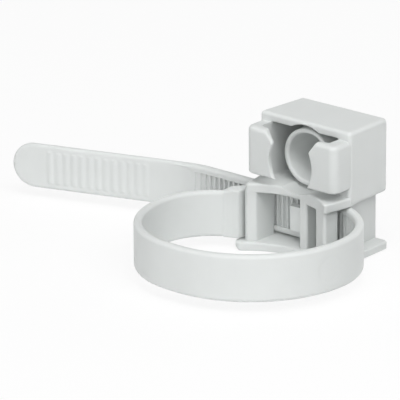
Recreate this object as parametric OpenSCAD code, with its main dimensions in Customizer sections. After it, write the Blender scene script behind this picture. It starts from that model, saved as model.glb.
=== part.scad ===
// Cable tie with a wall-mount base, moulded in one piece.
// The strap leaves the saddle on the left, loops round in front, comes back through the channel behind the
// pawl from the right, and leaves on the left as the tail.
// X runs along the wall, +Y points into the wall, and Z is the axis of the loop.
// The origin is on the axis of the socket, in the plane of the wall.

/* [Strap] */
// Width of the strap
strap_w = 8.8; // [8:0.1:10]
// Thickness of the strap
strap_t = 1.6; // [1.4:0.05:1.9]
// Rounding of the long edges of the strap
strap_edge_r = 0.45; // [0.2:0.05:0.6]

/* [Loop] */
// Radius of the quarter turn next to the root, at the back left
turn_root_r = 12; // [11:0.1:14]
// Radius of the quarter turn at the front left
turn_left_r = 15.9; // [14:0.1:20]
// Radius of the quarter turn at the front right
turn_right_r = 20.3; // [18:0.1:23]
// How far the centre of the root turn lies inside the corner of the saddle
root_in = 1.6; // [1:0.1:2.4]
// Straight length between the two left turns
left_flat = 0.5; // [0.3:0.1:2]
// Straight length between the two front turns
front_flat = 2.4; // [0.5:0.1:4]

/* [Tail] */
// Straight length of the tail from the middle of the saddle to its bend
tail_run = 23.6; // [20:0.2:40]
// Radius of the bend in the tail
tail_bend_r = 20; // [12:0.5:40]
// Angle of the bend in the tail
tail_bend_angle = 18; // [6:1:30]
// Straight length of the tail from the bend to the centre of its round tip
tail_end = 30; // [26:0.5:60]
// How much slimmer the tail is than the strap
tail_slim = 0.1; // [0.05:0.05:0.3]

/* [Teeth] */
// Pitch of the saw teeth
tooth_pitch = 1.15; // [1:0.05:1.4]
// Depth of the saw teeth
tooth_depth = 0.55; // [0.4:0.05:0.7]
// Share of the pitch that the sloped side of a tooth takes
tooth_slope = 0.85; // [0.7:0.05:0.95]
// Width of the plain rail on each side of the teeth
rail_w = 1.3; // [1.1:0.1:2]
// Angle of the front right turn that has teeth
rack_turn_angle = 45; // [10:5:80]

/* [Grip] */
// Number of ribs on the tail
grip_count = 14; // [8:1:14]
// Distance from rib to rib
grip_pitch = 1.5; // [1.3:0.05:1.6]
// Height of a rib above the strap
grip_h = 0.22; // [0.1:0.02:0.35]
// Width of a rib where it leaves the strap
grip_w = 0.9; // [0.7:0.05:1.1]
// Length of a rib across the strap
grip_l = 6.4; // [4:0.2:7]
// Distance from the centre of the tip to the first rib
grip_start = 3.2; // [1:0.2:5]

/* [Saddle] */
// Width of the saddle at its front corners
saddle_w = 18.6; // [17.6:0.2:19.6]
// Distance from the wall to the front corners of the saddle
saddle_d = 16.65; // [16:0.1:18]
// Radius of the hollow front that cables lie in
cradle_r = 13.7; // [12:0.1:18]
// Thickness of the left wall of the saddle
side_wall = 1.4; // [1.2:0.1:2]
// Left edge of the middle post, from the centre line
pawl_post_x = 0.55; // [0.2:0.05:1]
// Width of the middle post
pawl_post_w = 2.05; // [1.6:0.05:2.4]
// Width of the right post
right_post_w = 3.8; // [3:0.1:4.4]
// Clearance between the strap and the walls of the channel
channel_gap = 0.3; // [0.2:0.02:0.4]
// Clearance between the strap and the right post at the mouth of the channel
mouth_gap = 1.2; // [0.6:0.1:1.8]
// Clearance between the teeth and the walls in front of them
tooth_gap = 0.35; // [0.25:0.05:0.8]
// Chamfer on the two front corners of the saddle
corner_cut = 0.6; // [0.2:0.1:1]

/* [Root] */
// Width of the groove that lets the root bend
hinge_groove_w = 0.85; // [0.5:0.05:1.2]
// Thickness of the living hinge behind the groove
hinge_t = 1.1; // [0.8:0.05:1.4]
// Length of the thick root block
root_l = 1.6; // [1.2:0.1:2.4]
// How far the root block is thicker than the strap
root_extra = 1.7; // [1:0.1:2.2]
// How far the middle of the strap sits behind the front corners of the saddle
root_set = 0.65; // [0.3:0.05:0.9]

/* [Pawl] */
// Thickness of the pawl
pawl_t = 1.0; // [0.8:0.05:1.2]
// How far the tip of the pawl reaches past its post
pawl_reach = 3.85; // [3.2:0.05:4.5]
// Clearance between the pawl and the side rails of the strap
pawl_side_gap = 0.4; // [0.25:0.05:0.6]
// Clearance between the tip of the pawl and the tooth that it holds
pawl_tip_gap = 0.15; // [0.1:0.01:0.2]

/* [Wall body] */
// Width of the body behind the channel
body_w = 15.7; // [14:0.1:17]
// Distance from the wall to the channel
body_d = 8.2; // [7.8:0.1:9]
// Wall left round the hollows in the back of the body
core_wall = 1.6; // [1.2:0.1:2]

/* [Flange] */
// Width of the bottom flange
flange_w = 21.6; // [21:0.1:22.4]
// Distance from the wall to the front of the flange
flange_d = 18.1; // [17.4:0.1:18.6]
// Thickness of the flange
flange_t = 1.65; // [1.3:0.05:2]
// Rounding of the corners of the flange
flange_r = 0.9; // [0.4:0.1:1.4]

/* [Mount box] */
// Width of the box
box_w = 20.8; // [20:0.1:22]
// Depth of the box, from the wall
box_d = 10.9; // [10.4:0.1:12]
// Height of the box
box_h = 14; // [13.6:0.1:16]
// Thickness of the top of the box
top_t = 1.6; // [1.4:0.05:2]
// Thickness of the floor of the box, which is also the top plate of the saddle
floor_t = 1.65; // [1.4:0.05:2.2]
// Thickness of the wall behind the socket
back_t = 1.6; // [1.2:0.1:2.4]
// Width of the pocket in the front of the box
pocket_w = 15.6; // [14.6:0.2:17]
// Rounding of the outer edges of the box
box_r = 0.7; // [0.3:0.1:1.2]
// Radius of the arch over the tube
arch_r = 6.3; // [6.1:0.05:6.6]

/* [Socket] */
// Height of the axis of the socket above the bottom of the flange
socket_z = 18; // [17.8:0.1:18.4]
// Outside diameter of the tube
tube_d = 10.8; // [10.4:0.1:11.2]
// Diameter of the mouth of the tube
socket_d = 9; // [8.7:0.1:9.4]
// Diameter deeper in the tube
socket_core_d = 8.4; // [7.5:0.1:8.6]
// Depth of the wider mouth
socket_mouth = 2.4; // [1.5:0.1:4]
// How far the tube stops behind the front of the box
tube_set = 0.75; // [0.3:0.05:2]
// Diameter of the screw hole
screw_d = 4.6; // [3:0.1:6]
// Clearance round the tube
tube_gap = 0.5; // [0.35:0.05:0.6]
// Chamfer on the rim of the tube
rim_chamfer = 0.25; // [0.1:0.05:0.35]

/* [Jaws] */
// How far the jaws stand out in front of the box
jaw_reach = 4.3; // [3.5:0.1:5]
// Height of the jaws
jaw_h = 8.95; // [8.6:0.05:9.4]
// Gap between the top of the box's pocket and the jaws
jaw_top_gap = 0.2; // [0.15:0.05:0.6]
// Radius of the hollow inner faces of the jaws
jaw_r = 6.7; // [6:0.1:8]
// How far the centre of each hollow lies past the centre line
jaw_over = 1.9; // [1.2:0.1:3]
// Height of the lead-in chamfer above the nose of each jaw
jaw_chamfer_h = 2.15; // [1.4:0.05:2.6]
// Width of the lead-in chamfer
jaw_chamfer_w = 1.8; // [1:0.1:2.4]
// Rounding of the outer front edges of the jaws
jaw_corner_r = 1.5; // [1:0.05:2.5]
// How far the jaws sit inside the sides of the box
jaw_inset = 0.1; // [0.1:0.05:0.5]
// Thickness of the lip across the front of each jaw
jaw_lip = 1.7; // [1.5:0.05:2]

/* [Hidden] */
$fn = 64;
// Length by which shapes run into each other or past a face that they cut
overlap = 0.4;
// Angle left plain at the ends of a toothed turn
turn_margin = 3;

// Heights above the bottom of the flange
strap_z = flange_t + channel_gap + strap_w / 2;
floor_z = flange_t + strap_w + 2 * channel_gap;
floor_top = floor_z + floor_t;
box_top = floor_z + box_h;
ceiling_z = box_top - top_t;
jaw_top = ceiling_z - jaw_top_gap;
jaw_nose_z = jaw_top - jaw_chamfer_h;
jaw_nose_x = sqrt(pow(jaw_r, 2) - pow(jaw_nose_z - socket_z, 2)) - jaw_over;

// The tube, from the wall to its rim, and the room round it
tube_l = box_d - tube_set;
tube_room_r = tube_d / 2 + tube_gap;

// The channel, the cradle and the rack in plan
channel_y = -(body_d + channel_gap + strap_t / 2);
teeth_y = channel_y - strap_t / 2;
post_back_y = teeth_y - tooth_gap;
corner_x = saddle_w / 2;
cradle_y = -saddle_d - sqrt(pow(cradle_r, 2) - pow(corner_x, 2));
cradle_front_y = cradle_y + cradle_r;
rack_h = strap_w - 2 * rail_w;

// The loop: four quarter turns, the last of which brings the strap into line with the channel
root_x = -(corner_x - root_in);
root_y = -saddle_d + root_set;
turn_entry_r = turn_root_r + left_flat + turn_left_r + channel_y - root_y - turn_right_r;
root_centre = [root_x, root_y - turn_root_r];
left_centre = [root_x - turn_root_r + turn_left_r, root_centre.y - left_flat];
right_centre = [left_centre.x + front_flat, left_centre.y - turn_left_r + turn_right_r];
entry_centre = [right_centre.x + turn_right_r - turn_entry_r, right_centre.y];
hinge_x = -(corner_x + hinge_groove_w);
root_angle = acos((hinge_x - root_x) / turn_root_r);

// The tail
bend_centre = [-tail_run, channel_y - tail_bend_r];
tail_heading = 180 + tail_bend_angle;
tail_from = bend_centre + tail_bend_r * [cos(90 + tail_bend_angle), sin(90 + tail_bend_angle)];

// The pawl's tip and the tooth gap that it sits in
pawl_tip = [pawl_post_x - pawl_reach, teeth_y + tooth_depth - pawl_tip_gap];
pawl_h = rack_h - 2 * pawl_side_gap;
first_tooth_x = pawl_tip.x - pawl_tip_gap;

// Height of the inner face of the entry turn in plan, at a place along the channel
function entry_face_y(x) = entry_centre.y + sqrt(pow(turn_entry_r - strap_t / 2, 2) - pow(x - entry_centre.x, 2));
mouth_y = entry_face_y(corner_x) - mouth_gap;

// Rectangle with round corners, about its centre
module rounded_rect(size, r) {
    square([size.x - 2 * r, size.y], center = true);
    square([size.x, size.y - 2 * r], center = true);
    for (sx = [-1, 1], sy = [-1, 1])
        translate([sx * (size.x / 2 - r), sy * (size.y / 2 - r)]) circle(r);
}

// Cross-section of the strap, less a slimming: thickness along X, width along Y
module strap_section(slim = 0) {
    rounded_rect([strap_t - slim, strap_w - slim], strap_edge_r);
}

// Strap bent round a centre, between two angles
module strap_turn(centre, r, from, to) {
    translate([centre.x, centre.y, strap_z]) rotate(from)
        rotate_extrude(angle = to - from) translate([r, 0]) strap_section();
}

// Straight strap from a point, along a heading
module strap_run(from, heading, length) {
    translate([from.x, from.y, strap_z]) rotate(heading)
        rotate([90, 0, 90]) linear_extrude(length) strap_section();
}

// Round end of the tail, turned about an axis square to the strap
module tail_tip() {
    rotate([-90, 0, 0]) rotate(-90) rotate_extrude(angle = 180) intersection() {
        rounded_rect([strap_w - tail_slim, strap_t - tail_slim], strap_edge_r);
        translate([0, -strap_t]) square([strap_w, 2 * strap_t]);
    }
}

// Straight end of the tail, from inside its bend to its round tip, with the ribs on it
module tail() {
    translate([tail_from.x, tail_from.y, strap_z]) rotate(tail_heading) {
        translate([-overlap, 0, 0]) rotate([90, 0, 90]) linear_extrude(tail_end + overlap) strap_section(tail_slim);
        translate([tail_end, 0, 0]) tail_tip();
        grip_ribs();
    }
}

// Gap of one saw tooth: its steep side is at X = 0 and it opens towards -Y
module tooth_gap_cut() {
    translate([0, 0, strap_z - rack_h / 2]) linear_extrude(rack_h) polygon([
        [0, tooth_depth],
        [tooth_slope * tooth_pitch, 0],
        [tooth_slope * tooth_pitch, -overlap],
        [0, -overlap]
    ]);
}

// Angle that a length along the inner face of a turn takes
function face_angle(length, r) = length / (r - strap_t / 2) * 180 / PI;

// Gaps along a turn of the strap, on its inner face, from one angle to another
module turn_teeth(centre, r, from, to) {
    for (angle = [from : face_angle(tooth_pitch, r) : to])
        translate(centre) rotate(angle - 90) translate([0, r - strap_t / 2]) tooth_gap_cut();
}

// All the tooth gaps: on the front right turn, the entry turn, the channel and the start of the tail
module rack() {
    turn_teeth(right_centre, turn_right_r, 360 - rack_turn_angle, 360 - turn_margin);
    turn_teeth(entry_centre, turn_entry_r, turn_margin, 90 - turn_margin);
    ahead = floor((entry_centre.x - first_tooth_x) / tooth_pitch) - 1;
    behind = floor((first_tooth_x + tail_run) / tooth_pitch);
    for (i = [-behind : ahead])
        translate([first_tooth_x + i * tooth_pitch, teeth_y]) tooth_gap_cut();
    next_tooth_x = first_tooth_x - (behind + 1) * tooth_pitch;
    bend_first = 90 + face_angle(-tail_run - next_tooth_x, tail_bend_r);
    turn_teeth(bend_centre, tail_bend_r, bend_first, 90 + tail_bend_angle - turn_margin);
}

// Low round ribs across the tail, for the fingers
module grip_ribs() {
    rib_r = (pow(grip_w / 2, 2) + pow(grip_h, 2)) / (2 * grip_h);
    face_y = (strap_t - tail_slim) / 2;
    for (i = [0 : grip_count - 1])
        translate([tail_end - grip_start - i * grip_pitch, face_y + grip_h - rib_r, -grip_l / 2])
            cylinder(r = rib_r, h = grip_l);
}

module strap() {
    difference() {
        union() {
            strap_turn(root_centre, turn_root_r, 180, root_angle);
            strap_run([root_centre.x - turn_root_r, root_centre.y], 270, left_flat);
            strap_turn(left_centre, turn_left_r, 180, 270);
            strap_run([left_centre.x, left_centre.y - turn_left_r], 0, front_flat);
            strap_turn(right_centre, turn_right_r, 270, 360);
            strap_turn(entry_centre, turn_entry_r, 0, 90);
            strap_run([entry_centre.x, channel_y], 180, entry_centre.x + tail_run);
            strap_turn(bend_centre, tail_bend_r, 90, 90 + tail_bend_angle);
        }
        rack();
    }
    tail();
}

// Thick end of the strap, with the living hinge that joins it to the saddle
module root() {
    inner_y = root_centre.y + (turn_root_r - strap_t / 2) * sin(root_angle);
    outer_y = root_centre.y + (turn_root_r + strap_t / 2) * sin(root_angle);
    back_y = outer_y + root_extra;
    translate([0, 0, strap_z - strap_w / 2]) linear_extrude(strap_w) {
        polygon([
            [hinge_x, inner_y],
            [hinge_x, back_y],
            [hinge_x - root_l, back_y],
            [hinge_x - root_l - root_extra, outer_y - strap_t / 2],
            [hinge_x - root_l, inner_y]
        ]);
        translate([hinge_x - overlap, back_y - hinge_t])
            square([hinge_groove_w + side_wall / 2 + overlap, hinge_t]);
    }
}

// Plan of the saddle from the box to the hollow front that cables lie in
module saddle_plan() {
    difference() {
        polygon([
            [-box_w / 2, -box_d],
            [-box_w / 2 + box_r, -box_d / 2],
            [box_w / 2 - box_r, -box_d / 2],
            [box_w / 2, -box_d],
            [corner_x, -saddle_d + corner_cut],
            [corner_x - corner_cut, -saddle_d],
            [-corner_x + corner_cut, -saddle_d],
            [-corner_x, -saddle_d + corner_cut]
        ]);
        translate([0, cradle_y]) circle(cradle_r);
    }
}

// Part of the saddle's front that a post fills
module post(from_x, to_x, back_y) {
    translate([0, 0, flange_t - overlap]) linear_extrude(floor_z - flange_t + 2 * overlap) intersection() {
        translate([from_x, -saddle_d]) square([to_x - from_x, saddle_d + back_y]);
        saddle_plan();
    }
}

// Slanted tongue from the middle post to the teeth
module pawl() {
    translate([0, 0, strap_z - pawl_h / 2]) linear_extrude(pawl_h) polygon([
        [pawl_post_x + pawl_post_w / 2, post_back_y],
        [pawl_post_x, post_back_y],
        [pawl_tip.x + tooth_slope * tooth_pitch, teeth_y - pawl_tip_gap],
        pawl_tip,
        [pawl_tip.x, teeth_y - pawl_t],
        [pawl_post_x, cradle_front_y + overlap],
        [pawl_post_x + pawl_post_w / 2, cradle_front_y + overlap]
    ]);
}

// Left wall, middle post and right post of the saddle
module saddle_walls() {
    post(-corner_x, -corner_x + side_wall, post_back_y);
    post(pawl_post_x, pawl_post_x + pawl_post_w, post_back_y);
    post(corner_x - right_post_w, corner_x, mouth_y);
}

// Block between the channel and the wall, hollow from behind on each side of a rib
module wall_body() {
    height = floor_z - flange_t;
    core_w = (body_w - 3 * core_wall) / 2;
    difference() {
        translate([-body_w / 2, -body_d, flange_t - overlap]) cube([body_w, body_d, height + 2 * overlap]);
        for (side = [-1, 1])
            translate([side * (core_w + core_wall) / 2 - core_w / 2, -body_d + core_wall, flange_t + core_wall / 2])
                cube([core_w, body_d, height - core_wall]);
    }
}

// Bottom flange, with the same hollow front as the saddle
module flange() {
    linear_extrude(flange_t) difference() {
        translate([0, -flange_d / 2]) rounded_rect([flange_w, flange_d], flange_r);
        translate([0, cradle_y]) circle(cradle_r);
    }
}

// Top plate of the saddle, which is the floor of the box carried forward
module top_plate() {
    translate([0, 0, floor_z]) linear_extrude(floor_t) saddle_plan();
}

// Outside of the box, with its edges rounded along all three axes
module box_outside() {
    translate([0, -box_d / 2, floor_z + box_h / 2]) intersection() {
        linear_extrude(2 * box_h, center = true) rounded_rect([box_w, box_d], box_r);
        rotate([90, 0, 0]) linear_extrude(2 * box_d, center = true) rounded_rect([box_w, box_h], box_r);
        rotate([0, 90, 0]) linear_extrude(2 * box_w, center = true) rounded_rect([box_h, box_d], box_r);
    }
}

// Stretch of a front outline, drawn with X across and Y up, between two depths from the wall
module along_depth(from, to) {
    translate([0, -from, 0]) rotate([90, 0, 0]) linear_extrude(to - from) children();
}

// Pocket in the front of the box: a flat-topped room with an arch over the tube and a trough under it
module pocket() {
    along_depth(back_t, saddle_d + overlap) {
        translate([-pocket_w / 2, floor_top]) square([pocket_w, ceiling_z - floor_top]);
        intersection() {
            translate([0, socket_z]) circle(arch_r);
            translate([-arch_r, socket_z]) square(2 * arch_r);
        }
        translate([0, socket_z]) circle(tube_room_r);
    }
}

// Front outline of one jaw, on the right: a hollow inner face, a nose and a lead-in chamfer above it
module jaw_outline(half_w) {
    difference() {
        polygon([
            [0, jaw_top - jaw_h],
            [half_w, jaw_top - jaw_h],
            [half_w, jaw_top],
            [jaw_nose_x + jaw_chamfer_w, jaw_top],
            [jaw_nose_x, jaw_nose_z],
            [0, jaw_nose_z]
        ]);
        translate([-jaw_over, socket_z]) circle(jaw_r);
    }
}

// Two hooked jaws: each is an arm that carries the side wall of the pocket forward, with a lip across its front
module jaws() {
    jaw_d = box_d + jaw_reach;
    half_w = box_w / 2 - jaw_inset;
    difference() {
        intersection() {
            along_depth(back_t - overlap, jaw_d) for (side = [0, 1]) mirror([side, 0]) jaw_outline(half_w);
            linear_extrude(box_top) translate([0, -jaw_d / 2]) rounded_rect([2 * half_w, jaw_d], jaw_corner_r);
        }
        along_depth(back_t, jaw_d - jaw_lip)
            translate([-pocket_w / 2, jaw_top - jaw_h - overlap]) square([pocket_w, jaw_h + 2 * overlap]);
    }
}

// Cylinder along the axis of the socket, between two depths from the wall
module socket_cylinder(d1, d2, from, to) {
    translate([0, -from, socket_z]) rotate([90, 0, 0]) cylinder(d1 = d1, d2 = d2, h = to - from);
}

// Tube that stands on the back wall of the box
module socket_tube() {
    socket_cylinder(tube_d, tube_d, back_t - overlap, tube_l - rim_chamfer);
    socket_cylinder(tube_d, tube_d - 2 * rim_chamfer, tube_l - rim_chamfer, tube_l);
}

// Bores of the socket: wide mouth, narrower core and screw hole
module socket_bores() {
    step = (socket_d - socket_core_d) / 2;
    socket_cylinder(socket_d, socket_d, tube_l - socket_mouth, tube_l + overlap);
    socket_cylinder(socket_core_d, socket_d, tube_l - socket_mouth - step, tube_l - socket_mouth);
    socket_cylinder(socket_core_d, socket_core_d, back_t, tube_l - socket_mouth - step);
    socket_cylinder(screw_d, screw_d, -overlap, back_t + overlap);
}

// Box, jaws and tube, which take the fixing
module mount() {
    difference() {
        union() {
            difference() {
                union() {
                    box_outside();
                    top_plate();
                }
                pocket();
            }
            jaws();
            socket_tube();
        }
        socket_bores();
    }
}

module mounting_collar() {
    color("gainsboro") translate([0, 0, -socket_z]) {
        strap();
        root();
        saddle_walls();
        pawl();
        wall_body();
        flange();
        mount();
    }
}

mounting_collar();
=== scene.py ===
"""Looks of a cable tie with a wall-mount base, moulded in one piece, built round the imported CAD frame.

Sizes in the classes are in millimetres, in the frame of the CAD: X runs along the wall, +Y points into the
wall and Z is the axis of the loop. Meshes are put into Blender in metres.
"""

from __future__ import annotations

import logging
import math
from dataclasses import dataclass, field
from enum import Enum, IntEnum
from typing import Any, Mapping, Sequence

import bmesh
import bpy
import numpy as np
from mathutils import Matrix, Vector

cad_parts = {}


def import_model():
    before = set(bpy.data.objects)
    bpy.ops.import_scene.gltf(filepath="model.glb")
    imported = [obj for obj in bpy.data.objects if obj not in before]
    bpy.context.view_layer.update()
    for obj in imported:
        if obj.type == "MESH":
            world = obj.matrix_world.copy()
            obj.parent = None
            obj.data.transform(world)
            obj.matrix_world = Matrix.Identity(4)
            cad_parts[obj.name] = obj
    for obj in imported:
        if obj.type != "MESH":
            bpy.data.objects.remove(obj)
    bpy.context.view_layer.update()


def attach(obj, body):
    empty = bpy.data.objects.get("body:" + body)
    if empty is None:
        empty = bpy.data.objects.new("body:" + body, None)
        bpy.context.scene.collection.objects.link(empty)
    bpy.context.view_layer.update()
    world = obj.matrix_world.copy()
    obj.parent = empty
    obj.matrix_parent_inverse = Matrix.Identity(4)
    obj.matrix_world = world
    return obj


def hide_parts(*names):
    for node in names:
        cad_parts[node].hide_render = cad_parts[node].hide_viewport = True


LOG = logging.getLogger("cable_tie")
Array = np.ndarray
Point2 = tuple[float, float]
Point3 = tuple[float, float, float]
Points = Array | Sequence[Sequence[float]]
Sizes = float | Sequence[float]
Object = bpy.types.Object

MM = 0.001
WHITE = (1.0, 1.0, 1.0, 1.0)
# How far a solid reaches into the one that it is joined to
LAP = 0.5
# How far a cutter reaches past the face that it cuts
PAST = 1.0
# Corner radius at the points that stand for an arc
SWEEP = 3.0


class Join(Enum):
    """How one solid is joined to another."""

    ADD = "UNION"
    CUT = "DIFFERENCE"
    KEEP = "INTERSECT"


class Run(Enum):
    """Axis that an outline is carried along."""

    UP = "Z"
    DEPTH = "Y"


class Leg(IntEnum):
    """Runs of the strap's path, in order."""

    ROOT = 0
    LEFT_FLAT = 1
    LEFT = 2
    FRONT_FLAT = 3
    RIGHT = 4
    ENTRY = 5
    CHANNEL = 6
    BEND = 7
    TAIL = 8


def steps_between(low: float, high: float, spacing: float) -> Array:
    """Even places from low to high, both included, at most a spacing apart."""
    return np.linspace(low, high, max(2, int(math.ceil((high - low) / spacing)) + 1))


def smooth_step(low: float, high: float, x: Array) -> Array:
    """Rise from 0 at low to 1 at high, flat at both ends: t * t * (3 - 2 t) of the clipped share t."""
    t = np.clip((x - low) / (high - low), 0.0, 1.0)
    return t * t * (3.0 - 2.0 * t)


def unit(angle: Array) -> Array:
    """Unit vectors in the plane: the cosine and sine of each angle, in radians."""
    return np.stack([np.cos(angle), np.sin(angle)], axis=-1)


def leftward(ahead: Array) -> Array:
    """Directions a quarter turn to the left of others: (x, y) becomes (-y, x)."""
    return ahead[..., ::-1] * [-1.0, 1.0]


def arc(centre: Point2, radius: float, start: float, stop: float, count: int) -> Array:
    """Points on a circle: the centre plus the radius times the unit vectors at even angles, in degrees."""
    return np.asarray(centre) + radius * unit(np.radians(np.linspace(start, stop, count)))


def swept(first: float, points: Array, last: float) -> list[float]:
    """Corner radii for the points of an arc: one for each of its ends, and the sweep in between."""
    return [first] + [SWEEP] * (len(points) - 2) + [last]


def full_turn(count: int) -> Array:
    """Even angles all round, in radians, as a row."""
    return np.linspace(0.0, 2 * np.pi, count, endpoint=False)[None]


def placed(name: str, data: bpy.types.ID) -> Object:
    """New object in the scene for a mesh, a lamp or a camera.

    Args:
        name: Name of the object.
        data: What it shows.

    Returns:
        The object.
    """
    made = bpy.data.objects.new(name, data)
    bpy.context.scene.collection.objects.link(made)
    return made


@dataclass
class Outline:
    """Closed outline with the way out of it at each point, and the rounding that its two ends get there."""

    points: Array
    outward: Array
    first_edge: Array
    last_edge: Array

    @classmethod
    def rounded(cls, corners: Points, radii: Sizes, first: Sizes = 0.0, last: Sizes = 0.0, steps: int = 7,
                guard: float = 0.07) -> Outline:
        """Polygon with round corners.

        A corner of radius r starts r / tan(half the corner's angle) before it. Its centre is on the bisector,
        and the arc sweeps from one side's direction to the other's. A guard point stands on each side of the
        arc, at most a fifth of the spare length away, so that the flat sides stay flat when they are shaded.

        Args:
            corners: Corners in counter-clockwise order.
            radii: Radius at each corner, or one for all.
            first: End rounding at the near end for the side after each corner, or one for all.
            last: The same at the far end.
            steps: Points on each arc.
            guard: Largest distance from the arc to its guard points.

        Returns:
            The outline.
        """
        c = np.asarray(corners, float)
        count = len(c)
        r = np.broadcast_to(np.asarray(radii, float), count)
        back = np.roll(c, 1, axis=0) - c
        ahead = np.roll(c, -1, axis=0) - c
        room = np.linalg.norm(ahead, axis=1)
        u = back / np.linalg.norm(back, axis=1)[:, None]
        v = ahead / room[:, None]
        half = 0.5 * np.arccos(np.clip((u * v).sum(axis=1), -1.0, 1.0))
        reach = r / np.tan(half)
        spare = room - reach - np.roll(reach, -1)
        after = np.clip(0.2 * spare, 0.0, guard)
        before = np.roll(after, 1)
        bisector = u + v
        bisector /= np.linalg.norm(bisector, axis=1)[:, None]
        centre = c + bisector * (r / np.sin(half))[:, None]
        from_centre = c + u * reach[:, None] - centre
        to_centre = c + v * reach[:, None] - centre
        angle = np.arctan2(from_centre[:, 1], from_centre[:, 0])
        sweep = np.arctan2(to_centre[:, 1], to_centre[:, 0]) - angle
        sweep = (sweep + np.pi) % (2 * np.pi) - np.pi
        t = np.linspace(0.0, 1.0, steps)
        turn = angle[:, None] + sweep[:, None] * t
        on_arc = centre[:, None] + r[:, None, None] * unit(turn)
        points = np.concatenate([
            (c + u * (reach + before)[:, None])[:, None],
            on_arc,
            (c + v * (reach + after)[:, None])[:, None],
        ], axis=1)
        share = np.concatenate([[0.0], t, [1.0]])
        face = np.arctan2(u[:, 0], -u[:, 1])
        outward = unit(face[:, None] + share * sweep[:, None])
        edges = []
        for value in (first, last):
            side = np.broadcast_to(np.asarray(value, float), count)
            edges.append((np.roll(side, 1)[:, None] * (1 - share) + side[:, None] * share).ravel())
        return cls(points.reshape(-1, 2), outward.reshape(-1, 2), edges[0], edges[1])

    def carried(self, run: Run, start: float, stop: float, steps: int = 6, guard: float = 0.07) -> Shell:
        """Solid made by carrying the outline along an axis, with its two end edges rounded.

        Near an end the outline moves in by e * (1 - cos t) while it is e * (1 - sin t) short of that end, for
        t from 0 to a quarter turn and e the rounding at each point. A negative rounding flares the end
        instead.

        Args:
            run: Axis to carry it along.
            start: Place of the first end.
            stop: Place of the second end, past the first.
            steps: Rings on each rounded edge.
            guard: Distance from a rounded edge to its guard rings.

        Returns:
            The closed solid.
        """
        t = np.linspace(0.0, 0.5 * np.pi, steps)[:, None]
        e0 = self.first_edge[None]
        e1 = self.last_edge[None]
        level = np.ones_like(e0)
        inset = np.concatenate([
            e0 + guard, e0 * (1 - np.sin(t)), 0 * level, 0 * level, e1 * (1 - np.cos(t)), e1 + guard,
        ])
        place = np.concatenate([
            start * level, start + np.abs(e0) * (1 - np.cos(t)), start + np.abs(e0) + guard,
            stop - np.abs(e1) - guard, stop - np.abs(e1) * (1 - np.sin(t)), stop * level,
        ])
        flat = self.points[None] - inset[..., None] * self.outward[None]
        order = (flat[..., 0], flat[..., 1], place) if run is Run.UP else (flat[..., 0], place, flat[..., 1])
        return Shell.from_rings(np.stack(order, axis=-1))


@dataclass
class Shell:
    """Closed surface, as points and the faces between them."""

    points: Array
    faces: list[list[int]]

    @classmethod
    def from_rings(cls, rings: Array) -> Shell:
        """Skin over a stack of closed rings, with a flat face over the first and the last.

        Corner (i, j) of the grid joins (i, j + 1), (i + 1, j + 1) and (i + 1, j), and j runs round the ring.
        If the signed volume of the skin is negative, every face is turned over.

        Args:
            rings: Array of ring, place on the ring, and coordinate.

        Returns:
            The closed surface, facing outwards.
        """
        rows, around, _ = rings.shape
        index = np.arange(rows * around).reshape(rows, around)
        turned = np.roll(index, -1, axis=1)
        quads = np.stack([index[:-1], turned[:-1], turned[1:], index[1:]], axis=-1).reshape(-1, 4)
        points = rings.reshape(-1, 3)
        a, b, c, d = (points[quads[:, k]] for k in range(4))
        volume = (np.cross(a, b) * c).sum() + (np.cross(a, c) * d).sum()
        for ring, sign in ((rings[0], -1.0), (rings[-1], 1.0)):
            fan = np.cross(ring[1:-1], ring[2:])
            volume += sign * (fan @ ring[0]).sum()
        faces = quads.tolist() + [index[0][::-1].tolist(), index[-1].tolist()]
        if volume < 0:
            faces = [face[::-1] for face in faces]
        return cls(points, faces)

    def to_object(self, name: str, cell: float = 1.3, start: float = 0.37) -> Object:
        """Blender object with this surface, in the scene.

        The large flat faces are cut into small cells, so that what is joined to one lies across several.

        Args:
            name: Name of the object.
            cell: Size of a cell.
            start: Share of a cell before the first cut, which keeps cuts off the edges of other solids.

        Returns:
            The new object, in millimetres.
        """
        mesh = bpy.data.meshes.new(name)
        mesh.from_pydata(self.points.tolist(), [], self.faces)
        work = bmesh.new()
        work.from_mesh(mesh)
        ends = [face for face in work.faces if len(face.verts) > 4 or face.calc_area() > 2.0 * cell * cell]
        for axis, line in enumerate(np.eye(3)):
            low, high = self.points[:, axis].min(), self.points[:, axis].max()
            for place in np.arange(low + start * cell, high, cell):
                edges = dict.fromkeys(edge for face in ends for edge in face.edges)
                corners = dict.fromkeys(vert for face in ends for vert in face.verts)
                parts = [*corners, *edges, *ends]
                cut = bmesh.ops.bisect_plane(work, geom=parts, plane_co=line * place, plane_no=line)
                ends = [part for part in cut["geom"] if isinstance(part, bmesh.types.BMFace)]
        bmesh.ops.triangulate(work, faces=[face for face in work.faces if len(face.verts) > 4])
        work.to_mesh(mesh)
        work.free()
        return placed(name, mesh)


def turned_about_depth(profile: Array, count: int = 96) -> Shell:
    """Solid of revolution about the axis of the socket: each (radius, depth) of the profile becomes a ring.

    Args:
        profile: Radius and place along Y of each ring, in order.
        count: Points on a ring.

    Returns:
        The closed solid.
    """
    angle = full_turn(count)
    radius, depth = profile[:, :1], profile[:, 1:] + np.zeros(count)
    return Shell.from_rings(np.stack([radius * np.cos(angle), depth, radius * np.sin(angle)], axis=-1))


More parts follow.
